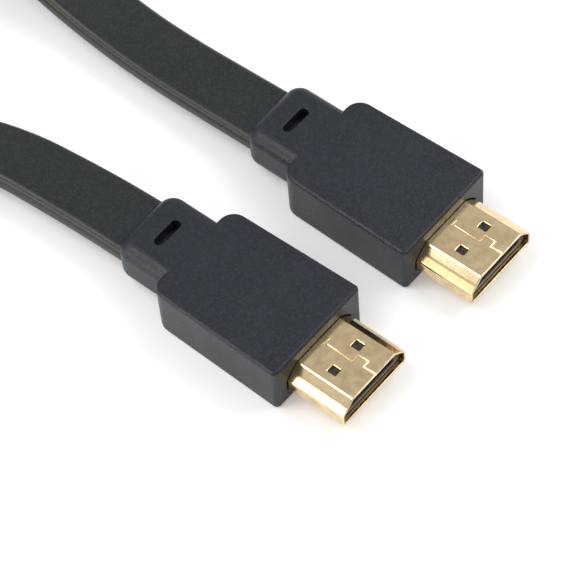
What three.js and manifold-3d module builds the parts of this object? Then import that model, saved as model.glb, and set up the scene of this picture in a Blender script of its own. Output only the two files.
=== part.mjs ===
// HDMI lead: two like moulded plugs side by side, joined by one flat cord that is coiled behind them.
// Millimetres, +X the way both plugs push in, +Z up, origin on the floor at the middle of the two plugs.
import * as THREE from "three";
import { mergeVertices } from "three/addons/utils/BufferGeometryUtils.js";
import Module from "manifold-3d";

// Moulded grip: body and the thinner strain relief behind it
const BODY_LENGTH = 23.4;
const BODY_FRONT_WIDTH = 18.8;
const BODY_REAR_WIDTH = 17.8;
const BODY_HEIGHT = 8.7;
const BODY_EDGE_RADIUS = 0.5;
const BODY_FRONT_CORNER = 0.8;
const BODY_REAR_CORNER = 3.2;
const RELIEF_LENGTH = 9.4;
const RELIEF_WIDTH = 12.8;
const RELIEF_THICKNESS = 7.4;
const RELIEF_EDGE_RADIUS = 2.1;
const RELIEF_CORNER = 2.5;
const RELIEF_ROOT = 6; // how far the relief runs on inside the body

// Slot across the strain relief, one from above and one from below
const SLOT_LENGTH = 5.2;
const SLOT_WIDTH = 1.6;
const SLOT_DEPTH = 1.9;
const SLOT_FROM_BODY = 4.3;

// Sheet-metal shell, narrow side up
const SHELL_LENGTH = 9.9; // in front of the grip
const SHELL_ROOT = 4; // seated inside the grip
const SHELL_CLEARANCE = 0.15;
const SHELL_WIDTH = 13.9;
const SHELL_HEIGHT = 4.45;
const SHELL_TOP_WIDTH = 9.2;
const SHELL_WALL_HEIGHT = 2.4; // upright part of each side, above the wide bottom
const SHELL_SHEET = 0.35;
const SHELL_CORNER = 0.7;
const LATCH_LENGTH = 1.55;
const LATCH_WIDTH = 1.45;
const LATCH_FROM_BODY = 4.9;
const LATCH_SPACING = 5.2;

// Insulator and its contacts
const INSULATOR_CLEARANCE = 0.1;
const INSULATOR_SETBACK = 0.8;
const MOUTH_WIDTH = 10.2;
const MOUTH_HEIGHT = 1.9;
const MOUTH_DEPTH = 7.6;
const CONTACT_PITCH = 1;
const CONTACT_WIDTH = 0.45;
const CONTACT_THICKNESS = 0.2;
const CONTACT_LENGTH = 6.2;
const CONTACT_SETBACK = 0.6;
const CONTACTS_BELOW = 10;
const CONTACTS_ABOVE = 9;

// Where the plugs lie
const PLUG_SPACING = 26.8;
const PLUG_LEAD = 1.6; // plug b lies this much further forward than plug a

// Flat cord and its coil
const CORD_WIDTH = 11;
const CORD_THICKNESS = 3;
const CORD_GAP = 0.3;
const CORD_A_STEPS = 20;
const CORD_B_STEPS = 28;
const COIL_X = -136;
const COIL_Y = -20;
const COIL_TURNS = 3.278; // from where cord a meets the coil to where cord b leaves it
const COIL_PITCH = 4;
const COIL_START_RADIUS = 57;
const COIL_SEGMENTS = 56;

const CORNER_STEPS = 5;
const BEVEL_STEPS = 3;

// Route of the flat cord outside the coil: [x, y, z, roll], roll 0 or 180 lying flat and 90 standing on edge
const CORD_A_ROUTE = [
  [-22.5, -13.4, 4.4, 0],
  [-30, -13.5, 4.1, 2],
  [-38, -13.8, 3.7, 5],
  [-46, -14.4, 3.4, 9],
  [-53.5, -16, 3.3, 15],
  [-60.6, -19.3, 3.6, 26],
  [-67, -24.2, 4.4, 40],
  [-72.4, -30.4, 5, 55],
  [-77.4, -37.2, 5.4, 68],
  [-82.4, -44.3, 5.6, 80],
  [-88.2, -52.9, 5.7, 87],
  [-93.4, -59.7, 5.7, 90],
  [-100.2, -65.9, 5.7, 90],
  [-107.9, -70.7, 5.7, 90],
  [-116.7, -74.4, 5.7, 90],
  [-126, -76.4, 5.7, 90],
  [-136, -77, 5.7, 90],
];
const CORD_B_ROUTE = [
  [-179, -12.4, 5.7, 90],
  [-175.6, -1.8, 5.8, 91],
  [-169.4, 7.1, 6.4, 97],
  [-161.1, 13.4, 7.6, 110],
  [-151.8, 17.2, 9.4, 130],
  [-141.6, 19.1, 11.7, 152],
  [-131.4, 19.8, 13.4, 172],
  [-121.2, 20, 13.6, 179],
  [-109.8, 19.9, 13.5, 180],
  [-98.4, 19, 13.4, 180],
  [-89, 17.4, 12.9, 180],
  [-79.8, 16.1, 10.8, 180],
  [-70.4, 15.4, 7.2, 178],
  [-61, 14.9, 4.4, 175],
  [-50, 14.1, 3.5, 175],
  [-40, 13.6, 3.6, 177],
  [-30, 13.4, 4.1, 179],
  [-20.9, 13.4, 4.4, 180],
];

const wasm = await Module();
wasm.setup();

const materials = {
  grip: new THREE.MeshStandardMaterial({ color: 0x1c2024, roughness: 0.45 }),
  gold: new THREE.MeshStandardMaterial({ color: 0xd9a441, roughness: 0.25, metalness: 1 }),
  insulator: new THREE.MeshStandardMaterial({ color: 0x151416, roughness: 0.5 }),
  cord: new THREE.MeshStandardMaterial({ color: 0x1b1f20, roughness: 0.55 }),
};

function toManifold(geometry) {
  const bare = geometry.clone();
  bare.deleteAttribute("normal");
  bare.deleteAttribute("uv");
  const merged = mergeVertices(bare, 1e-4);
  const vertProperties = merged.attributes.position.array;
  const triVerts = new Uint32Array(merged.index.array);
  return new wasm.Manifold(new wasm.Mesh({ numProp: 3, vertProperties, triVerts }));
}

function toGeometry(solid) {
  const mesh = solid.getMesh();
  const geometry = new THREE.BufferGeometry();
  geometry.setAttribute("position", new THREE.BufferAttribute(mesh.vertProperties, 3));
  geometry.setIndex(new THREE.BufferAttribute(mesh.triVerts, 1));
  geometry.computeVertexNormals();
  return geometry;
}

// Closed outline through the corners, each one rounded by its own radius
function roundedShape(corners, radii) {
  const shape = new THREE.Shape();
  corners.forEach((corner, i) => {
    const before = corners[(i + corners.length - 1) % corners.length];
    const after = corners[(i + 1) % corners.length];
    const back = before.clone().sub(corner).normalize();
    const ahead = after.clone().sub(corner).normalize();
    const half = back.angleTo(ahead) / 2;
    const reach = radii[i] / Math.tan(half);
    const centre = back.clone().add(ahead).normalize();
    centre.multiplyScalar(radii[i] / Math.sin(half)).add(corner);
    const from = back.multiplyScalar(reach).add(corner);
    const to = ahead.multiplyScalar(reach).add(corner);
    const start = Math.atan2(from.y - centre.y, from.x - centre.x);
    const turn = Math.PI - 2 * half;
    for (let step = 0; step <= CORNER_STEPS; step++) {
      const angle = start + (turn * step) / CORNER_STEPS;
      const x = centre.x + radii[i] * Math.cos(angle);
      const y = centre.y + radii[i] * Math.sin(angle);
      if (i === 0 && step === 0) shape.moveTo(x, y);
      else shape.lineTo(x, y);
    }
  });
  return shape;
}

// Corners of a convex outline moved inwards by a distance
function insetCorners(corners, distance) {
  return corners.map((corner, i) => {
    const before = corners[(i + corners.length - 1) % corners.length];
    const after = corners[(i + 1) % corners.length];
    const back = before.clone().sub(corner).normalize();
    const ahead = after.clone().sub(corner).normalize();
    const half = back.angleTo(ahead) / 2;
    const inward = back.add(ahead).normalize();
    return inward.multiplyScalar(distance / Math.sin(half)).add(corner);
  });
}

function pad(shape, thickness, edgeRadius, bottom) {
  const geometry = new THREE.ExtrudeGeometry(shape, {
    depth: thickness - 2 * edgeRadius,
    bevelSize: edgeRadius,
    bevelThickness: edgeRadius,
    bevelOffset: -edgeRadius,
    bevelSegments: BEVEL_STEPS,
  });
  return geometry.translate(0, 0, bottom + edgeRadius);
}

function slotCutter(bottom) {
  const half = SLOT_WIDTH / 2;
  const straight = SLOT_LENGTH / 2 - half;
  const shape = new THREE.Shape();
  shape.absarc(0, straight, half, 0, Math.PI, false);
  shape.absarc(0, -straight, half, Math.PI, 2 * Math.PI, false);
  const settings = { depth: SLOT_DEPTH + 1, bevelEnabled: false, curveSegments: 8 };
  const geometry = new THREE.ExtrudeGeometry(shape, settings);
  return toManifold(geometry.translate(-BODY_LENGTH - SLOT_FROM_BODY, 0, bottom));
}

function gripGeometry() {
  const front = BODY_FRONT_WIDTH / 2;
  const rear = BODY_REAR_WIDTH / 2;
  const bodyShape = roundedShape(
    [
      new THREE.Vector2(0, -front),
      new THREE.Vector2(0, front),
      new THREE.Vector2(-BODY_LENGTH, rear),
      new THREE.Vector2(-BODY_LENGTH, -rear),
    ],
    [BODY_FRONT_CORNER, BODY_FRONT_CORNER, BODY_REAR_CORNER, BODY_REAR_CORNER],
  );
  const side = RELIEF_WIDTH / 2;
  const end = -BODY_LENGTH - RELIEF_LENGTH;
  const root = -BODY_LENGTH + RELIEF_ROOT;
  const reliefShape = roundedShape(
    [
      new THREE.Vector2(root, -side),
      new THREE.Vector2(root, side),
      new THREE.Vector2(end, side),
      new THREE.Vector2(end, -side),
    ],
    [RELIEF_CORNER, RELIEF_CORNER, RELIEF_CORNER, RELIEF_CORNER],
  );
  const reliefBottom = BODY_HEIGHT - RELIEF_THICKNESS;
  const body = toManifold(pad(bodyShape, BODY_HEIGHT, BODY_EDGE_RADIUS, 0));
  const relief = toManifold(pad(reliefShape, RELIEF_THICKNESS, RELIEF_EDGE_RADIUS, reliefBottom));
  const seat = alongX(shellSection(-SHELL_CLEARANCE), -SHELL_ROOT, 1);
  return toGeometry(
    body
      .add(relief)
      .subtract(slotCutter(BODY_HEIGHT - SLOT_DEPTH))
      .subtract(slotCutter(reliefBottom - 1))
      .subtract(toManifold(seat.translate(0, 0, BODY_HEIGHT / 2))),
  );
}

// Corners of the shell's section as (y, z) about its middle, wide side down
const shellCorners = [
  new THREE.Vector2(-SHELL_WIDTH / 2, -SHELL_HEIGHT / 2),
  new THREE.Vector2(SHELL_WIDTH / 2, -SHELL_HEIGHT / 2),
  new THREE.Vector2(SHELL_WIDTH / 2, SHELL_WALL_HEIGHT - SHELL_HEIGHT / 2),
  new THREE.Vector2(SHELL_TOP_WIDTH / 2, SHELL_HEIGHT / 2),
  new THREE.Vector2(-SHELL_TOP_WIDTH / 2, SHELL_HEIGHT / 2),
  new THREE.Vector2(-SHELL_WIDTH / 2, SHELL_WALL_HEIGHT - SHELL_HEIGHT / 2),
];

function shellSection(inset) {
  const corners = insetCorners(shellCorners, inset);
  const radius = Math.max(SHELL_CORNER - inset, 0.15);
  return roundedShape(corners, corners.map(() => radius));
}

// A section drawn as (y, z), drawn out along X between two places; the grip's front face is at 0
function alongX(shape, from, to) {
  const geometry = new THREE.ExtrudeGeometry(shape, { depth: to - from, bevelEnabled: false });
  const turn = new THREE.Matrix4().makeBasis(
    new THREE.Vector3(0, 1, 0),
    new THREE.Vector3(0, 0, 1),
    new THREE.Vector3(1, 0, 0),
  );
  return geometry.applyMatrix4(turn).translate(from, 0, 0);
}

function block(x, y, z, length, width, height) {
  return new THREE.BoxGeometry(length, width, height).translate(x, y, z);
}

function shellGeometry() {
  const section = shellSection(0);
  section.holes.push(shellSection(SHELL_SHEET));
  let shell = toManifold(alongX(section, -SHELL_ROOT, SHELL_LENGTH));
  for (const side of [-1, 1]) {
    const y = (side * LATCH_SPACING) / 2;
    const through = 2 * SHELL_HEIGHT;
    const cutter = block(LATCH_FROM_BODY, y, 0, LATCH_LENGTH, LATCH_WIDTH, through);
    shell = shell.subtract(toManifold(cutter));
  }
  return toGeometry(shell);
}

function insulatorGeometry() {
  const front = SHELL_LENGTH - INSULATOR_SETBACK;
  const section = shellSection(SHELL_SHEET + INSULATOR_CLEARANCE);
  const mouth = block(front, 0, 0, 2 * MOUTH_DEPTH, MOUTH_WIDTH, MOUTH_HEIGHT);
  const insulator = toManifold(alongX(section, -SHELL_ROOT, front));
  return toGeometry(insulator.subtract(toManifold(mouth)));
}

function namedMesh(name, geometry, material) {
  const mesh = new THREE.Mesh(geometry, material);
  mesh.name = name;
  return mesh;
}

function contactRow(letter, row, count, level) {
  const front = SHELL_LENGTH - INSULATOR_SETBACK - CONTACT_SETBACK;
  const x = front - CONTACT_LENGTH / 2;
  const meshes = [];
  for (let i = 0; i < count; i++) {
    const y = (i - (count - 1) / 2) * CONTACT_PITCH;
    const strip = block(x, y, level, CONTACT_LENGTH, CONTACT_WIDTH, CONTACT_THICKNESS);
    meshes.push(namedMesh(`contact_${letter}_${row}_${i + 1}`, strip, materials.gold));
  }
  return meshes;
}

function plug(letter) {
  const group = new THREE.Group();
  const shellGroup = new THREE.Group();
  const wall = (MOUTH_HEIGHT - CONTACT_THICKNESS) / 2;
  shellGroup.position.z = BODY_HEIGHT / 2;
  shellGroup.add(
    namedMesh(`shell_${letter}`, shellGeometry(), materials.gold),
    namedMesh(`insulator_${letter}`, insulatorGeometry(), materials.insulator),
    ...contactRow(letter, "lower", CONTACTS_BELOW, -wall),
    ...contactRow(letter, "upper", CONTACTS_ABOVE, wall),
  );
  group.add(namedMesh(`grip_${letter}`, gripGeometry(), materials.grip), shellGroup);
  return group;
}

// Cord route as a smooth curve whose frames hold the flat cord at the roll given for each point
class FlatRoute extends THREE.CatmullRomCurve3 {
  constructor(route) {
    super(route.map(([x, y, z]) => new THREE.Vector3(x, y, z)));
    this.rolls = route.map((stop) => THREE.MathUtils.degToRad(stop[3]));
  }

  computeFrenetFrames(segments) {
    const frames = { tangents: [], normals: [], binormals: [] };
    for (let i = 0; i <= segments; i++) {
      const place = this.getUtoTmapping(i / segments) * (this.rolls.length - 1);
      const stop = Math.min(Math.floor(place), this.rolls.length - 2);
      const roll = THREE.MathUtils.lerp(this.rolls[stop], this.rolls[stop + 1], place - stop);
      const tangent = this.getTangentAt(i / segments);
      const side = new THREE.Vector3(-tangent.y, tangent.x, 0).normalize();
      const up = new THREE.Vector3().crossVectors(tangent, side);
      const across = side.multiplyScalar(Math.cos(roll)).addScaledVector(up, Math.sin(roll));
      frames.tangents.push(tangent);
      frames.normals.push(across);
      frames.binormals.push(new THREE.Vector3().crossVectors(tangent, across));
    }
    return frames;
  }
}

function cordSection() {
  const radius = CORD_THICKNESS / 2;
  const flat = CORD_WIDTH / 2 - radius;
  const edgeSteps = 4;
  const shape = new THREE.Shape();
  for (const side of [1, -1]) {
    for (let step = 0; step <= edgeSteps; step++) {
      const angle = Math.PI * (step / edgeSteps - side / 2);
      const x = side * flat + radius * Math.cos(angle);
      const y = radius * Math.sin(angle);
      if (side === 1 && step === 0) shape.moveTo(x, y);
      else shape.lineTo(x, y);
    }
  }
  return shape;
}

function cordGeometry(route, steps) {
  return new THREE.ExtrudeGeometry(cordSection(), { steps, extrudePath: new FlatRoute(route) });
}

function coilGeometry() {
  const clear = CORD_THICKNESS / 2 + CORD_GAP; // both cords meet the coil along its walls
  const outer = COIL_START_RADIUS - clear;
  const inner = COIL_START_RADIUS - COIL_PITCH * COIL_TURNS + clear;
  const profile = [
    new THREE.Vector2(inner, 0),
    new THREE.Vector2(outer, 0),
    new THREE.Vector2(outer, CORD_WIDTH),
    new THREE.Vector2(inner, CORD_WIDTH),
    new THREE.Vector2(inner, 0),
  ];
  return new THREE.LatheGeometry(profile, COIL_SEGMENTS).rotateX(Math.PI / 2);
}

const group = new THREE.Group();
const reach = BODY_LENGTH + RELIEF_LENGTH;
const middle = (reach - SHELL_LENGTH - PLUG_LEAD) / 2;
const plugA = plug("a");
plugA.position.set(middle, -PLUG_SPACING / 2, 0);
const plugB = plug("b");
plugB.position.set(middle + PLUG_LEAD, PLUG_SPACING / 2, 0);
const coil = namedMesh("cord_coil", coilGeometry(), materials.cord);
coil.position.set(COIL_X, COIL_Y, 0);
group.add(
  plugA,
  plugB,
  namedMesh("cord_a", cordGeometry(CORD_A_ROUTE, CORD_A_STEPS), materials.cord),
  namedMesh("cord_b", cordGeometry(CORD_B_ROUTE, CORD_B_STEPS), materials.cord),
  coil,
);

export default group;
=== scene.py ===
"""Flat video lead: both moulded plugs side by side, the cord between them coiled behind.

+X is the way both plugs push in, +Z up. Shapes are worked out in millimetres and made in metres.
"""

import math

import bmesh
import bpy
from mathutils import Matrix, Vector


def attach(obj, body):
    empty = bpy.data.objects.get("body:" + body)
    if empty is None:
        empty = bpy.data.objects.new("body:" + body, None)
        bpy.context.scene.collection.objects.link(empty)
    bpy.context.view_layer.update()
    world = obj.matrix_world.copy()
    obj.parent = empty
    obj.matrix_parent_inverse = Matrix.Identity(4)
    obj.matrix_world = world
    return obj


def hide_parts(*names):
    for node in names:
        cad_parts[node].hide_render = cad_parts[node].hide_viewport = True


MM = 0.001

# Moulded grip, from the middle of its front face: body and the thinner strain relief behind it
BODY_LENGTH = 23.4
BODY_FRONT_WIDTH = 18.8
BODY_REAR_WIDTH = 17.8
BODY_HEIGHT = 8.7
BODY_EDGE_RADIUS = 0.5
BODY_FRONT_CORNER = 0.8
BODY_REAR_CORNER = 2.5
RELIEF_LENGTH = 9.4
RELIEF_WIDTH = 12.8
RELIEF_THICKNESS = 7.4
RELIEF_EDGE_RADIUS = 2.1
RELIEF_CORNER = 2.5
RELIEF_ROOT = 6.0  # how far the relief runs on inside the body

# Slot across the strain relief, one from above and one from below
SLOT_LENGTH = 5.2
SLOT_WIDTH = 1.6
SLOT_DEPTH = 1.9
SLOT_FROM_BODY = 4.3
SLOT_LIP = 0.16
SLOT_INSET = 0.05  # its walls stand this far inside its length and width

# Sheet-metal shell, narrow side up, its section measured from its own middle
SHELL_LENGTH = 9.9  # in front of the grip
SHELL_ROOT = 4.0  # seated inside the grip
SHELL_CLEARANCE = 0.15
SHELL_WIDTH = 13.9
SHELL_HEIGHT = 4.45
SHELL_TOP_WIDTH = 9.2
SHELL_WALL_HEIGHT = 2.4
SHELL_SHEET = 0.35
SHELL_CORNER = 0.7
SHELL_FLANK_SWELL = (0.08, 0.09)  # across and up, at the middle of each sloping side
SHELL_FLANK_RADIUS = 3.0
SHELL_RIM = 0.17
SHELL_SEAT_LIP = 0.1
LATCH_LENGTH = 1.4
LATCH_WIDTH = 1.25
LATCH_FROM_BODY = 4.88
LATCH_SPACING = 5.2
LATCH_LIP = 0.17
LATCH_CORNER = 0.12
SEAM_WIDTH = 0.06
SEAM_LIP = 0.15
SEAM_DEPTH = 0.18
SEAM_ROUTE = [(1.4, 0.1), (5.9, 0.1), (5.9, 1.42), (7.8, 1.42), (7.8, 0.36), (10.4, 0.36)]

# Small raised bar where the folded sheet is staked, its place from the grip and the plug's middle
TAB_PLACE = (0.92, 0.48)
TAB_LENGTH = 0.56
TAB_WIDTH = 1.24
TAB_RISE = 0.09
TAB_SUNK = 0.1
TAB_CORNER = 0.08

# Insulator inside the shell, and the contacts along its mouth
INSULATOR_CLEARANCE = 0.1
INSULATOR_SETBACK = 0.8
INSULATOR_EDGE = 0.15
MOUTH_WIDTH = 10.2
MOUTH_HEIGHT = 1.9
MOUTH_DEPTH = 7.6
MOUTH_LIP = 0.2
MOUTH_CORNER = 0.2
CONTACT_PITCH = 1.0
CONTACT_WIDTH = 0.45
CONTACT_THICKNESS = 0.2
CONTACT_LENGTH = 6.2
CONTACT_SETBACK = 0.6
CONTACT_EDGE = 0.05
CONTACTS_BELOW = 10
CONTACTS_ABOVE = 9
GROOVE_WIDTH = 0.62
GROOVE_DEPTH = 0.3
GROOVE_FROM_BACK = 0.3
GROOVE_FROM_FACE = 0.25

# How far a contact lies towards its groove, from its root (-1) to its nose (1)
CONTACT_PROFILE = [
    (-1, 0.1),
    (-0.6, 0.02),
    (-0.2, 0),
    (0.3, 0),
    (0.6, -0.04),
    (0.8, 0),
    (0.95, 0.08),
    (1, 0.14),
]

# Middle of each grip's front face
PLUG_PLACES = {"a": (10.65, -13.4), "b": (12.25, 13.4)}

# Flat cord: section, and its route as (x, y, z, roll); roll 0 or 180 lies flat, 90 stands on edge
CORD_WIDTH = 11.0
CORD_THICKNESS = 3.0
CORD_EDGE_RADIUS = 1.2
CORD_SEATED = 2.0  # length of each end inside its strain relief
CORD_SEAT_DEPTH = 3.0
CORD_SEAT_LIP = 0.15
CORD_CLEARANCE = 0.1
CORD_STEP = 2.0
CORD_A_ROUTE = [
    (-22.5, -13.4, 4.4, 0),
    (-30, -13.5, 4.1, 2),
    (-38, -13.8, 3.7, 5),
    (-46, -14.4, 3.4, 9),
    (-53.5, -16, 3.3, 15),
    (-60.6, -19.3, 3.6, 26),
    (-67, -24.2, 4.4, 40),
    (-72.4, -30.4, 5, 55),
    (-77.4, -37.2, 5.4, 68),
    (-82.4, -44.3, 5.6, 80),
    (-88.2, -52.9, 5.7, 87),
    (-93.4, -59.7, 5.7, 90),
    (-100.2, -65.9, 5.7, 90),
    (-107.9, -70.7, 5.7, 90),
    (-116.7, -74.4, 5.7, 90),
    (-126, -76.4, 5.7, 90),
    (-136, -77, 5.7, 90),
]
CORD_B_ROUTE = [
    (-179, -12.4, 5.7, 90),
    (-175.6, -1.8, 5.8, 91),
    (-169.4, 7.1, 6.4, 97),
    (-161.1, 13.4, 7.6, 110),
    (-151.8, 17.2, 9.4, 130),
    (-141.6, 19.1, 11.7, 152),
    (-131.4, 19.8, 13.4, 172),
    (-121.2, 20, 13.6, 179),
    (-109.8, 19.9, 13.5, 180),
    (-98.4, 19, 13.4, 180),
    (-89, 17.4, 12.9, 180),
    (-79.8, 16.1, 10.8, 180),
    (-70.4, 15.4, 7.2, 178),
    (-61, 14.9, 4.4, 175),
    (-50, 14.1, 3.5, 175),
    (-40, 13.6, 3.6, 177),
    (-30, 13.4, 4.1, 179),
    (-20.9, 13.4, 4.4, 180),
]
COIL_MIDDLE = (-136.0, -20.0)
COIL_HEIGHT = 5.7
COIL_START_RADIUS = 57.0
COIL_PITCH = 4.0
COIL_TURNS = 3.278

# Camera: where it stands, what it looks at, and its tilt in degrees about its own line of sight
CAMERA_PLACE = (141.55, -153.21, 295.6)
CAMERA_AIM = (0.47, -8.66, 4.0)
CAMERA_TILT = -5.585
CAMERA_LENS = 154.64

# Soft lights: name, direction from the plugs, size in metres, power in watts, colour
LIGHT_DISTANCE = 1.0
LIGHTS = [
    ("overhead", (-0.39, -0.36, 0.85), (0.44, 0.66), 3.8, (1, 1, 1)),
    ("behind", (0.25, 0.66, 0.71), (0.9, 0.7), 5.0, (1, 1, 1)),
    ("side", (-0.39, -0.88, 0.27), (0.7, 0.3), 3.4, (1, 0.88, 0.68)),
]

# Moulded plastic's shine and its paler specks, and the gold's patches of a deeper tone
MOULDED_SPECULAR = 0.42
SPECK_SHARE = 0.3
SPECK_GAIN = 1.7
GOLD_PATCHES = 650
GOLD_DEEPER = (0.7, 0.67, 0.66)

# Steps round a moulded corner, and the angle in degrees from which an edge stays sharp
CORNER_STEPS = 10
SHARP_ANGLE = 32


def place_camera():
    """Camera at the photograph's viewing angle."""
    camera = bpy.data.objects.new("camera", bpy.data.cameras.new("camera"))
    bpy.context.scene.collection.objects.link(camera)
    bpy.context.scene.camera = camera
    camera.data.lens = CAMERA_LENS
    camera.data.clip_start = 0.01
    camera.data.clip_end = 10
    place = Vector(CAMERA_PLACE) * MM
    look = (Vector(CAMERA_AIM) * MM - place).normalized()
    level = look.cross(Vector((0, 0, 1))).normalized()
    tilt = math.radians(CAMERA_TILT)
    right = math.cos(tilt) * level + math.sin(tilt) * level.cross(look)
    turn = Matrix((right, right.cross(look), -look)).transposed()
    camera.matrix_world = Matrix.Translation(place) @ turn.to_4x4()


# Outlines, in millimetres


def rounded_outline(corners, radii, steps=CORNER_STEPS):
    """Closed outline through the corners, each one rounded by its own radius."""
    outline = []
    for i, corner in enumerate(corners):
        corner = Vector(corner)
        back = (Vector(corners[i - 1]) - corner).normalized()
        ahead = (Vector(corners[(i + 1) % len(corners)]) - corner).normalized()
        half = back.angle(ahead) / 2
        centre = corner + (back + ahead).normalized() * radii[i] / math.sin(half)
        start = corner + back * radii[i] / math.tan(half) - centre
        turn = math.pi - 2 * half
        for step in range(steps + 1):
            angle = math.atan2(start.y, start.x) + turn * step / steps
            outline.append(centre + radii[i] * Vector((math.cos(angle), math.sin(angle))))
    return outline


def inset_corners(corners, distance):
    """Corners of a convex outline moved inwards by a distance."""
    moved = []
    for i, corner in enumerate(corners):
        corner = Vector(corner)
        back = (Vector(corners[i - 1]) - corner).normalized()
        ahead = (Vector(corners[(i + 1) % len(corners)]) - corner).normalized()
        half = back.angle(ahead) / 2
        moved.append(corner + (back + ahead).normalized() * distance / math.sin(half))
    return moved


def rectangle(half_x, half_y):
    """Corners of a rectangle about the origin."""
    return [(-half_x, -half_y), (half_x, -half_y), (half_x, half_y), (-half_x, half_y)]


def stadium(length, width, spread):
    """Slot outline along Y, larger by spread all round."""
    radius = width / 2
    straight = length / 2 - radius
    outline = []
    for end, start in ((1, 0), (-1, math.pi)):
        for step in range(13):
            angle = start + math.pi * step / 12
            x = (radius + spread) * math.cos(angle)
            outline.append(Vector((x, end * straight + (radius + spread) * math.sin(angle))))
    return outline


def shell_outline(inset):
    """Shell section as (y, z), wide side down, moved inwards by inset."""
    half, top, rise = SHELL_WIDTH / 2, SHELL_TOP_WIDTH / 2, SHELL_HEIGHT / 2
    wall = SHELL_WALL_HEIGHT - rise
    swell_y, swell_z = SHELL_FLANK_SWELL
    flank = ((half + top) / 2 + swell_y, (wall + rise) / 2 + swell_z)
    right = [(half, -rise), (half, wall), flank, (top, rise)]
    corners = right + [(-y, z) for y, z in reversed(right)]
    radius = max(SHELL_CORNER - inset, 0.15)
    radii = [radius, radius, SHELL_FLANK_RADIUS, radius]
    return rounded_outline(inset_corners(corners, inset), radii + radii[::-1], 8)


# Meshes, in millimetres until finished


def add_loft(build, rings, closed_ends=True):
    """Faces through closed rings of points; without ends the last ring joins the first."""
    loops = [[build.verts.new(point) for point in ring] for ring in rings]
    pairs = list(zip(loops, loops[1:])) + ([] if closed_ends else [(loops[-1], loops[0])])
    for loop, following in pairs:
        for i in range(len(loop)):
            j = (i + 1) % len(loop)
            build.faces.new((loop[i], loop[j], following[j], following[i]))
    if closed_ends:
        build.faces.new(list(reversed(loops[0])))
        build.faces.new(loops[-1])


def built_mesh(build):
    """Mesh of what was built, its faces turned outwards."""
    bmesh.ops.recalc_face_normals(build, faces=build.faces)
    mesh = bpy.data.meshes.new("shape")
    build.to_mesh(mesh)
    build.free()
    return mesh


def lofted(rings, closed_ends=True):
    """Mesh of one loft through rings of points."""
    build = bmesh.new()
    add_loft(build, rings, closed_ends)
    return built_mesh(build)


def level_loft(levels):
    """Loft through outlines lying flat, from (z, outline) pairs."""
    return lofted([[(point.x, point.y, z) for point in outline] for z, outline in levels])


def drawn_loft(stops, closed_ends=True):
    """Loft through outlines standing across X, from (x, outline) pairs of (y, z) points."""
    rings = [[(x, point.x, point.y) for point in outline] for x, outline in stops]
    return lofted(rings, closed_ends)


def rounded_pad(corners, radii, bottom, thickness, edge):
    """Flat slab whose top and bottom edges are rounded by edge."""
    levels = []
    for end in (-1, 1):
        for step in range(CORNER_STEPS + 1):
            angle = math.pi / 2 * (step / CORNER_STEPS - (end < 0))
            inset = edge * (1 - math.cos(angle))
            middle = bottom + (edge if end < 0 else thickness - edge)
            rounded = [max(radius - inset, 0.05) for radius in radii]
            outline = rounded_outline(inset_corners(corners, inset), rounded)
            levels.append((middle + edge * math.sin(angle), outline))
    return level_loft(levels)


def flared_stops(outline_at, deep, surface, lip, outside):
    """Stops of a cutter from deep to outside a surface, opening out there by a rounded lip."""
    stops = [(deep, outline_at(0))]
    way = 1 if surface > deep else -1
    for step in range(7):
        angle = math.pi / 2 * step / 6
        spread = lip * (1 - math.cos(angle))
        stops.append((surface - way * lip * (1 - math.sin(angle)), outline_at(spread)))
    stops.append((surface + way * outside, outline_at(lip)))
    return stops


def carved(mesh, tools, operation="DIFFERENCE"):
    """The mesh with the tools cut out of it or joined to it."""
    work = bpy.data.objects.new("work", mesh)
    bpy.context.scene.collection.objects.link(work)
    helpers = []
    for tool in tools:
        helper = bpy.data.objects.new("helper", tool)
        bpy.context.scene.collection.objects.link(helper)
        helpers.append(helper)
        step = work.modifiers.new("step", "BOOLEAN")
        step.operation = operation
        step.solver = "EXACT"
        step.object = helper
    bpy.context.view_layer.update()
    graph = bpy.context.evaluated_depsgraph_get()
    result = bpy.data.meshes.new_from_object(work.evaluated_get(graph))
    for spent in (work, *helpers):
        bpy.data.objects.remove(spent)
    return result


def finished_piece(name, mesh, material, place=(0, 0, 0)):
    """Object for a mesh moved to its place, in metres, riding on the lead."""
    mesh.transform(Matrix.Scale(MM, 4) @ Matrix.Translation(place))
    mesh.name = name
    mesh.materials.clear()
    mesh.materials.append(material)
    mesh.shade_smooth()
    mesh.set_sharp_from_angle(angle=math.radians(SHARP_ANGLE))
    piece = bpy.data.objects.new(name, mesh)
    bpy.context.scene.collection.objects.link(piece)
    weigh = piece.modifiers.new("even shading", "WEIGHTED_NORMAL")
    weigh.keep_sharp = True
    weigh.weight = 100
    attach(piece, "root")
    return piece


# Moulded grip


def slot_cutter(surface, way):
    """Rounded slot across the strain relief, way 1 from above and -1 from below."""
    stops = flared_stops(
        lambda spread: stadium(SLOT_LENGTH, SLOT_WIDTH, spread - SLOT_INSET),
        surface - way * SLOT_DEPTH,
        surface,
        SLOT_LIP,
        1,
    )
    cutter = level_loft(stops)
    cutter.transform(Matrix.Translation((-BODY_LENGTH - SLOT_FROM_BODY, 0, 0)))
    return cutter


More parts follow.
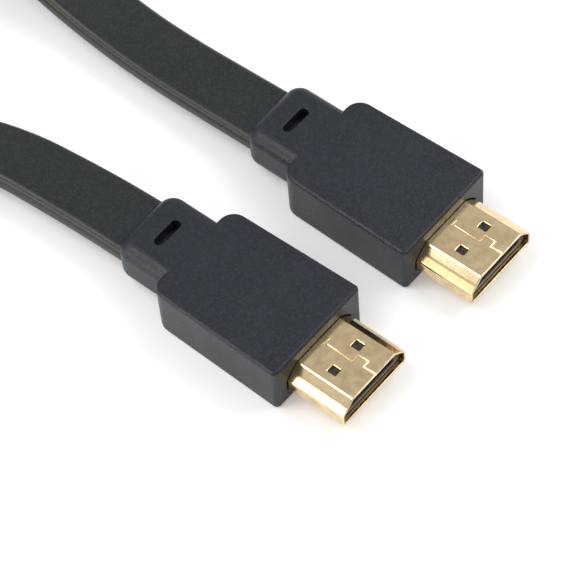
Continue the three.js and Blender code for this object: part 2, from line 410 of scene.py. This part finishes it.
def grip_mesh():
    """Body and strain relief in one moulding, with the slots and the seats of shell and cord."""
    front, rear = BODY_FRONT_WIDTH / 2, BODY_REAR_WIDTH / 2
    body = rounded_pad(
        [(0, -front), (0, front), (-BODY_LENGTH, rear), (-BODY_LENGTH, -rear)],
        [BODY_FRONT_CORNER, BODY_FRONT_CORNER, BODY_REAR_CORNER, BODY_REAR_CORNER],
        0,
        BODY_HEIGHT,
        BODY_EDGE_RADIUS,
    )
    side = RELIEF_WIDTH / 2
    end = -BODY_LENGTH - RELIEF_LENGTH
    root = -BODY_LENGTH + RELIEF_ROOT
    bottom = BODY_HEIGHT - RELIEF_THICKNESS
    relief = rounded_pad(
        [(root, -side), (root, side), (end, side), (end, -side)],
        [RELIEF_CORNER] * 4,
        bottom,
        RELIEF_THICKNESS,
        RELIEF_EDGE_RADIUS,
    )
    stops = flared_stops(
        lambda spread: shell_outline(-SHELL_CLEARANCE - spread), -SHELL_ROOT, 0, SHELL_SEAT_LIP, 1
    )
    shell_seat = drawn_loft(stops)
    shell_seat.transform(Matrix.Translation((0, 0, BODY_HEIGHT / 2)))
    stops = flared_stops(
        lambda spread: cord_outline(CORD_CLEARANCE + spread),
        end + CORD_SEAT_DEPTH,
        end,
        CORD_SEAT_LIP,
        1,
    )
    cord_seat = drawn_loft(stops)
    cord_seat.transform(Matrix.Translation((0, 0, CORD_A_ROUTE[0][2])))
    joined = carved(body, [relief], "UNION")
    return carved(
        joined,
        [slot_cutter(BODY_HEIGHT, 1), slot_cutter(bottom, -1), shell_seat, cord_seat],
    )


# Shell


def shell_tube():
    """Folded sheet with a rounded front rim."""
    front = SHELL_LENGTH - SHELL_RIM
    outer = [(-SHELL_ROOT, shell_outline(0))]
    inner = []
    for step in range(6):
        angle = math.pi / 2 * step / 5
        x = front + SHELL_RIM * math.sin(angle)
        inset = SHELL_RIM * (1 - math.cos(angle))
        outer.append((x, shell_outline(inset)))
        inner.append((x, shell_outline(SHELL_SHEET - inset)))
    inner = inner[::-1] + [(-SHELL_ROOT, shell_outline(SHELL_SHEET))]
    return drawn_loft(outer + inner, closed_ends=False)


def latch_cutter(y, way):
    """Square latch hole with a drawn-in lip, way 1 from above and -1 from below."""

    def outline(spread):
        corners = rectangle(LATCH_LENGTH / 2 + spread, LATCH_WIDTH / 2 + spread)
        return rounded_outline(corners, [LATCH_CORNER + spread] * 4, 4)

    surface = way * SHELL_HEIGHT / 2
    cutter = level_loft(flared_stops(outline, 0, surface, LATCH_LIP, 0.5))
    cutter.transform(Matrix.Translation((LATCH_FROM_BODY, y, 0)))
    return cutter


def seam_cutter():
    """Narrow groove along the folded sheet's interlocking joint."""
    surface = SHELL_HEIGHT / 2

    def band(spread):
        half = SEAM_WIDTH / 2 + spread
        sides = ([], [])
        points = [Vector(point) for point in SEAM_ROUTE]
        for i, point in enumerate(points):
            ahead = (points[min(i + 1, len(points) - 1)] - point).normalized()
            behind = (point - points[max(i - 1, 0)]).normalized()
            ahead = ahead if ahead.length else behind
            behind = behind if behind.length else ahead
            normal = Vector((-ahead.y, ahead.x)) + Vector((-behind.y, behind.x))
            normal *= half / max(0.2, normal.length_squared / 2)
            sides[0].append(point - normal)
            sides[1].append(point + normal)
        return sides[0] + sides[1][::-1]

    stops = [
        (surface - SEAM_DEPTH, band(0)),
        (surface - 0.6 * SEAM_LIP, band(0)),
        (surface - 0.2 * SEAM_LIP, band(0.5 * SEAM_LIP)),
        (surface, band(SEAM_LIP)),
        (surface + 0.3, band(SEAM_LIP)),
    ]
    return level_loft(stops)


def staked_tab():
    """Small raised bar where the sheet is staked, close to the grip."""
    top = SHELL_HEIGHT / 2
    corners = rectangle(TAB_LENGTH / 2, TAB_WIDTH / 2)
    levels = [(top - TAB_SUNK, rounded_outline(corners, [TAB_CORNER] * 4, 3))]
    for step in range(5):
        angle = math.pi / 2 * step / 4
        inset = TAB_RISE * (1 - math.cos(angle))
        outline = rounded_outline(inset_corners(corners, inset), [TAB_CORNER] * 4, 3)
        levels.append((top + TAB_RISE * math.sin(angle), outline))
    tab = level_loft(levels)
    tab.transform(Matrix.Translation((*TAB_PLACE, 0)))
    return tab


def shell_mesh():
    """Gold-plated shell with its latch holes, seam and staked tab."""
    holes = [
        latch_cutter(side * LATCH_SPACING / 2, way) for side in (-1, 1) for way in (-1, 1)
    ]
    return carved(carved(shell_tube(), holes + [seam_cutter()]), [staked_tab()], "UNION")


# Insulator and contacts


def insulator_mesh():
    """Insulator filling the shell, with the mouth and a groove behind each contact."""
    front = SHELL_LENGTH - INSULATOR_SETBACK
    inset = SHELL_SHEET + INSULATOR_CLEARANCE
    stops = [(-SHELL_ROOT, shell_outline(inset))]
    for step in range(5):
        angle = math.pi / 2 * step / 4
        x = front - INSULATOR_EDGE * (1 - math.sin(angle))
        stops.append((x, shell_outline(inset + INSULATOR_EDGE * (1 - math.cos(angle)))))

    def mouth(spread):
        corners = rectangle(MOUTH_WIDTH / 2 + spread, MOUTH_HEIGHT / 2 + spread)
        return rounded_outline(corners, [MOUTH_CORNER + spread] * 4, 4)

    tools = [drawn_loft(flared_stops(mouth, front - MOUTH_DEPTH, front, MOUTH_LIP, 1))]
    reach = (front - MOUTH_DEPTH + GROOVE_FROM_BACK, front - GROOVE_FROM_FACE)
    for count, way in ((CONTACTS_BELOW, -1), (CONTACTS_ABOVE, 1)):
        for i in range(count):
            y = (i - (count - 1) / 2) * CONTACT_PITCH
            z = way * MOUTH_HEIGHT / 2
            corners = rectangle(GROOVE_WIDTH / 2, GROOVE_DEPTH)
            groove = [Vector((y + across, z + up)) for across, up in corners]
            tools.append(drawn_loft([(x, groove) for x in reach]))
    return carved(drawn_loft(stops), tools)


def contact_mesh(count, way):
    """Row of spring contacts, each a narrow strip whose nose dips back towards its groove."""
    front = SHELL_LENGTH - INSULATOR_SETBACK - CONTACT_SETBACK
    level = way * (MOUTH_HEIGHT - CONTACT_THICKNESS) / 2
    corners = rectangle(CONTACT_WIDTH / 2, CONTACT_THICKNESS / 2)
    outline = rounded_outline(corners, [CONTACT_EDGE] * 4, 2)
    build = bmesh.new()
    for i in range(count):
        y = (i - (count - 1) / 2) * CONTACT_PITCH
        rings = []
        for place, dip in CONTACT_PROFILE:
            x = front - CONTACT_LENGTH / 2 + place * CONTACT_LENGTH / 2
            rings.append([(x, y + point.x, level + way * dip + point.y) for point in outline])
        add_loft(build, rings)
    return built_mesh(build)


# Flat cord


def cord_outline(spread):
    """Section of the flat cord as (across, up), larger by spread all round."""
    corners = rectangle(CORD_WIDTH / 2 + spread, CORD_THICKNESS / 2 + spread)
    return rounded_outline(corners, [CORD_EDGE_RADIUS + spread] * 4, 8)


def catmull(points, place):
    """Point at a place along the smooth curve through the points, one unit of place a point."""
    stop = min(int(place), len(points) - 2)
    t = place - stop
    before = points[stop - 1] if stop > 0 else 2 * points[0] - points[1]
    after = points[stop + 2] if stop + 2 < len(points) else 2 * points[-1] - points[-2]
    a, b = points[stop], points[stop + 1]
    return 0.5 * (
        2 * a
        + (b - before) * t
        + (2 * before - 5 * a + 4 * b - after) * t * t
        + (3 * a - before - 3 * b + after) * t**3
    )


def route_stations(route):
    """Points along a route with the roll at each, one about every CORD_STEP."""
    points = [Vector(stop[:3]) for stop in route]
    stations = []
    for stop in range(len(route) - 1):
        pieces = max(1, round((points[stop + 1] - points[stop]).length / CORD_STEP))
        for piece in range(pieces):
            t = piece / pieces
            roll = route[stop][3] * (1 - t) + route[stop + 1][3] * t
            stations.append((catmull(points, stop + t), roll))
    return [*stations, (points[-1], route[-1][3])]


def coil_stations():
    """Turns of the coil, clockwise and inwards, between the two routes."""
    sweep = 2 * math.pi * COIL_TURNS
    steps = round(sweep * COIL_START_RADIUS / CORD_STEP)
    stations = []
    for step in range(1, steps):
        share = step / steps
        angle = -math.pi / 2 - sweep * share
        radius = COIL_START_RADIUS - COIL_PITCH * COIL_TURNS * share
        x = COIL_MIDDLE[0] + radius * math.cos(angle)
        y = COIL_MIDDLE[1] + radius * math.sin(angle)
        stations.append((Vector((x, y, COIL_HEIGHT)), 90))
    return stations


def cord_stations():
    """The whole cord, from inside plug a's strain relief to inside plug b's."""
    stations = route_stations(CORD_A_ROUTE) + coil_stations() + route_stations(CORD_B_ROUTE)
    seated = Vector((CORD_SEATED, 0, 0))
    return [
        (stations[0][0] + seated, stations[0][1]),
        *stations,
        (stations[-1][0] + seated, stations[-1][1]),
    ]


def ribbon_mesh(stations):
    """The cord's section swept along the stations, held at each one's roll."""
    rings = []
    points = [point for point, _ in stations]
    for i, (point, roll) in enumerate(stations):
        along = (points[min(i + 1, len(points) - 1)] - points[max(i - 1, 0)]).normalized()
        side = Vector((-along.y, along.x, 0)).normalized()
        turn = math.radians(roll)
        across = math.cos(turn) * side + math.sin(turn) * along.cross(side)
        rise = along.cross(across)
        rings.append([point + p.x * across + p.y * rise for p in cord_outline(0)])
    return lofted(rings)


# Materials


def node_group(name, inputs, outputs):
    """Empty shader group with named sockets, and its input and output nodes."""
    group = bpy.data.node_groups.new(name, "ShaderNodeTree")
    for socket, value in inputs.items():
        made = group.interface.new_socket(socket, in_out="INPUT", socket_type="NodeSocketFloat")
        made.default_value = value
    for socket in outputs:
        group.interface.new_socket(socket, in_out="OUTPUT", socket_type="NodeSocketFloat")
    return group, group.nodes.new("NodeGroupInput"), group.nodes.new("NodeGroupOutput")


def noise_node(tree, place, scale, detail):
    """Noise over a place, its scale linked from another node."""
    noise = tree.nodes.new("ShaderNodeTexNoise")
    noise.inputs["Detail"].default_value = detail
    noise.inputs["Roughness"].default_value = 0.6
    tree.links.new(place, noise.inputs["Vector"])
    tree.links.new(scale, noise.inputs["Scale"])
    return noise.outputs["Fac"]


def stretched(tree, value, before, after=(0, 1)):
    """Value stretched from the range before to the range after, and held there."""
    ramp = tree.nodes.new("ShaderNodeMapRange")
    for socket, number in zip(("From Min", "From Max", "To Min", "To Max"), (*before, *after)):
        ramp.inputs[socket].default_value = number
    tree.links.new(value, ramp.inputs["Value"])
    return ramp.outputs["Result"]


def object_place(tree):
    """Place on the object, so that a pattern stays on it in every view."""
    return tree.nodes.new("ShaderNodeTexCoord").outputs["Object"]


def make_grain_group():
    """Fine moulded grain: its height, and a mask of the few specks that catch light."""
    group, given, result = node_group(
        "moulded_grain", {"Grains per metre": 5000, "Speck share": 0.1}, ["Height", "Specks"]
    )
    place = object_place(group)
    fine = noise_node(group, place, given.outputs["Grains per metre"], 2)
    cells = group.nodes.new("ShaderNodeTexVoronoi")
    group.links.new(place, cells.inputs["Vector"])
    group.links.new(given.outputs["Grains per metre"], cells.inputs["Scale"])
    total = group.nodes.new("ShaderNodeMath")
    total.operation = "MULTIPLY_ADD"
    total.inputs[1].default_value = -0.6
    group.links.new(cells.outputs["Distance"], total.inputs[0])
    group.links.new(fine, total.inputs[2])
    group.links.new(total.outputs["Value"], result.inputs["Height"])
    shade = group.nodes.new("ShaderNodeSeparateColor")
    group.links.new(cells.outputs["Color"], shade.inputs["Color"])
    threshold = group.nodes.new("ShaderNodeMath")
    threshold.operation = "SUBTRACT"
    threshold.inputs[0].default_value = 1
    group.links.new(given.outputs["Speck share"], threshold.inputs[1])
    chosen = group.nodes.new("ShaderNodeMath")
    chosen.operation = "GREATER_THAN"
    group.links.new(shade.outputs["Red"], chosen.inputs[0])
    group.links.new(threshold.outputs["Value"], chosen.inputs[1])
    group.links.new(chosen.outputs["Value"], result.inputs["Specks"])
    return group


def make_handling_group():
    """Broad uneven sheen left by moulding and handling."""
    group, given, result = node_group("handled_sheen", {"Patches per metre": 150}, ["Unevenness"])
    patches = noise_node(group, object_place(group), given.outputs["Patches per metre"], 4)
    group.links.new(stretched(group, patches, (0.3, 0.7)), result.inputs["Unevenness"])
    return group


def placed_group(tree, group, **values):
    """A group placed in a material, with its inputs set."""
    node = tree.nodes.new("ShaderNodeGroup")
    node.node_tree = group
    for socket, value in values.items():
        node.inputs[socket.replace("_", " ")].default_value = value
    return node


def mixed(tree, share, first, second):
    """Colour between two, given as colours or outputs."""
    mix = tree.nodes.new("ShaderNodeMix")
    mix.data_type = "RGBA"
    tree.links.new(share, mix.inputs["Factor"])
    for socket, colour in ((mix.inputs[6], first), (mix.inputs[7], second)):
        if isinstance(colour, tuple):
            socket.default_value = (*colour, 1)
        else:
            tree.links.new(colour, socket)
    return mix.outputs[2]


def new_material(name):
    """Material with its nodes on: the tree, the shader and the material itself."""
    material = bpy.data.materials.new(name)
    material.use_nodes = True
    return material.node_tree, material.node_tree.nodes["Principled BSDF"], material


def finish_surface(tree, shader, sheen, gloss, grain, depth):
    """Roughness from the uneven sheen, and the grain raised by depth."""
    rough = stretched(tree, sheen.outputs["Unevenness"], (0, 1), gloss)
    tree.links.new(rough, shader.inputs["Roughness"])
    bump = tree.nodes.new("ShaderNodeBump")
    bump.inputs["Strength"].default_value = 1.0
    bump.inputs["Distance"].default_value = depth * MM
    tree.links.new(grain.outputs["Height"], bump.inputs["Height"])
    tree.links.new(bump.outputs["Normal"], shader.inputs["Normal"])


def moulded_material(name, dark, light, gloss, grains, depth):
    """Moulded plastic: slightly mottled colour, uneven gloss, fine grain."""
    tree, shader, material = new_material(name)
    grain = placed_group(tree, GRAIN, Grains_per_metre=grains, Speck_share=SPECK_SHARE)
    sheen = placed_group(tree, HANDLING)
    mottle = mixed(tree, sheen.outputs["Unevenness"], dark, light)
    speck = tuple(SPECK_GAIN * channel for channel in light)
    colour = mixed(tree, grain.outputs["Specks"], mottle, speck)
    tree.links.new(colour, shader.inputs["Base Color"])
    shader.inputs["Specular IOR Level"].default_value = MOULDED_SPECULAR
    finish_surface(tree, shader, sheen, gloss, grain, depth)
    return material


def gold_material(name, colour, gloss, grains, depth):
    """Gold plating over drawn sheet: warm metal, slightly uneven, with a faint satin grain."""
    tree, shader, material = new_material(name)
    grain = placed_group(tree, GRAIN, Grains_per_metre=grains)
    sheen = placed_group(tree, HANDLING, Patches_per_metre=GOLD_PATCHES)
    deeper = tuple(channel * share for channel, share in zip(colour, GOLD_DEEPER))
    tone = mixed(tree, sheen.outputs["Unevenness"], colour, deeper)
    tree.links.new(tone, shader.inputs["Base Color"])
    finish_surface(tree, shader, sheen, gloss, grain, depth)
    shader.inputs["Metallic"].default_value = 1.0
    return material


# Room


def soft_light(name, toward, size, power, colour):
    """Rectangular soft light that shines from a direction onto the plugs."""
    light = bpy.data.objects.new(name, bpy.data.lights.new(name, "AREA"))
    light.data.shape = "RECTANGLE"
    light.data.size, light.data.size_y = size
    light.data.energy = power
    light.data.color = colour
    place = Vector(toward).normalized() * LIGHT_DISTANCE
    light.location = place
    light.rotation_euler = (-place).to_track_quat("-Z", "Y").to_euler()
    bpy.context.scene.collection.objects.link(light)


def make_room():
    """Plain pale floor and soft studio light."""
    mesh = bpy.data.meshes.new("floor")
    mesh.from_pydata([(-4, -4, 0), (4, -4, 0), (4, 4, 0), (-4, 4, 0)], [], [(0, 1, 2, 3)])
    floor = bpy.data.objects.new("floor", mesh)
    tree, shader, material = new_material("white_floor")
    shader.inputs["Base Color"].default_value = (0.88, 0.88, 0.88, 1)
    shader.inputs["Roughness"].default_value = 0.7
    shader.inputs["Specular IOR Level"].default_value = 0.2
    shader.inputs["Emission Color"].default_value = (1, 1, 1, 1)
    shader.inputs["Emission Strength"].default_value = 0.2
    mesh.materials.append(material)
    bpy.context.scene.collection.objects.link(floor)
    world = bpy.data.worlds.new("room")
    bpy.context.scene.world = world
    world.use_nodes = True
    sky = world.node_tree.nodes["Background"]
    sky.inputs["Color"].default_value = (0.97, 0.98, 1, 1)
    sky.inputs["Strength"].default_value = 0.6
    for light in LIGHTS:
        soft_light(*light)
    bpy.context.scene.view_settings.view_transform = "Standard"


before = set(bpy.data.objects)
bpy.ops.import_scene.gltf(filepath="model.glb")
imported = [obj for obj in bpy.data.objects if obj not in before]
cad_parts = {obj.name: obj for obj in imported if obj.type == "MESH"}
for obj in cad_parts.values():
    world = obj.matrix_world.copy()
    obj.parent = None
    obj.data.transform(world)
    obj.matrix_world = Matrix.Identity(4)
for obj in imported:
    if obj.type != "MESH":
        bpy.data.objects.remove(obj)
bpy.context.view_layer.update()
place_camera()
make_room()

GRAIN = make_grain_group()
HANDLING = make_handling_group()
grip_plastic = moulded_material(
    "grip_plastic",
    dark=(0.0045, 0.0075, 0.0115),
    light=(0.007, 0.0105, 0.0155),
    gloss=(0.33, 0.43),
    grains=4000,
    depth=0.045,
)
cord_jacket = moulded_material(
    "cord_jacket",
    dark=(0.0075, 0.0105, 0.0105),
    light=(0.01, 0.0135, 0.0132),
    gloss=(0.3, 0.4),
    grains=5200,
    depth=0.008,
)
insulator_plastic = moulded_material(
    "insulator_plastic",
    dark=(0.012, 0.011, 0.013),
    light=(0.02, 0.018, 0.021),
    gloss=(0.3, 0.42),
    grains=4200,
    depth=0.01,
)
shell_gold = gold_material(
    "shell_gold", colour=(0.96, 0.75, 0.44), gloss=(0.13, 0.2), grains=6500, depth=0.004
)
contact_gold = gold_material(
    "contact_gold", colour=(0.96, 0.76, 0.42), gloss=(0.16, 0.24), grains=9000, depth=0.002
)

for letter, (x, y) in PLUG_PLACES.items():
    face = (x, y, 0)
    middle = (x, y, BODY_HEIGHT / 2)
    grip = finished_piece("moulded_grip_" + letter, grip_mesh(), grip_plastic, face)
    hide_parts("grip_" + letter)
    shell = finished_piece("plug_shell_" + letter, shell_mesh(), shell_gold, middle)
    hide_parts("shell_" + letter)
    block = finished_piece("plug_insulator_" + letter, insulator_mesh(), insulator_plastic, middle)
    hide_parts("insulator_" + letter)
    for row, count, way in (("lower", CONTACTS_BELOW, -1), ("upper", CONTACTS_ABOVE, 1)):
        name = f"spring_contacts_{letter}_{row}"
        contacts = finished_piece(name, contact_mesh(count, way), contact_gold, middle)
        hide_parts(*(f"contact_{letter}_{row}_{i + 1}" for i in range(count)))

stations = cord_stations()
cord = finished_piece("flat_cord", ribbon_mesh(stations), cord_jacket)
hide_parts("cord_a", "cord_b", "cord_coil")
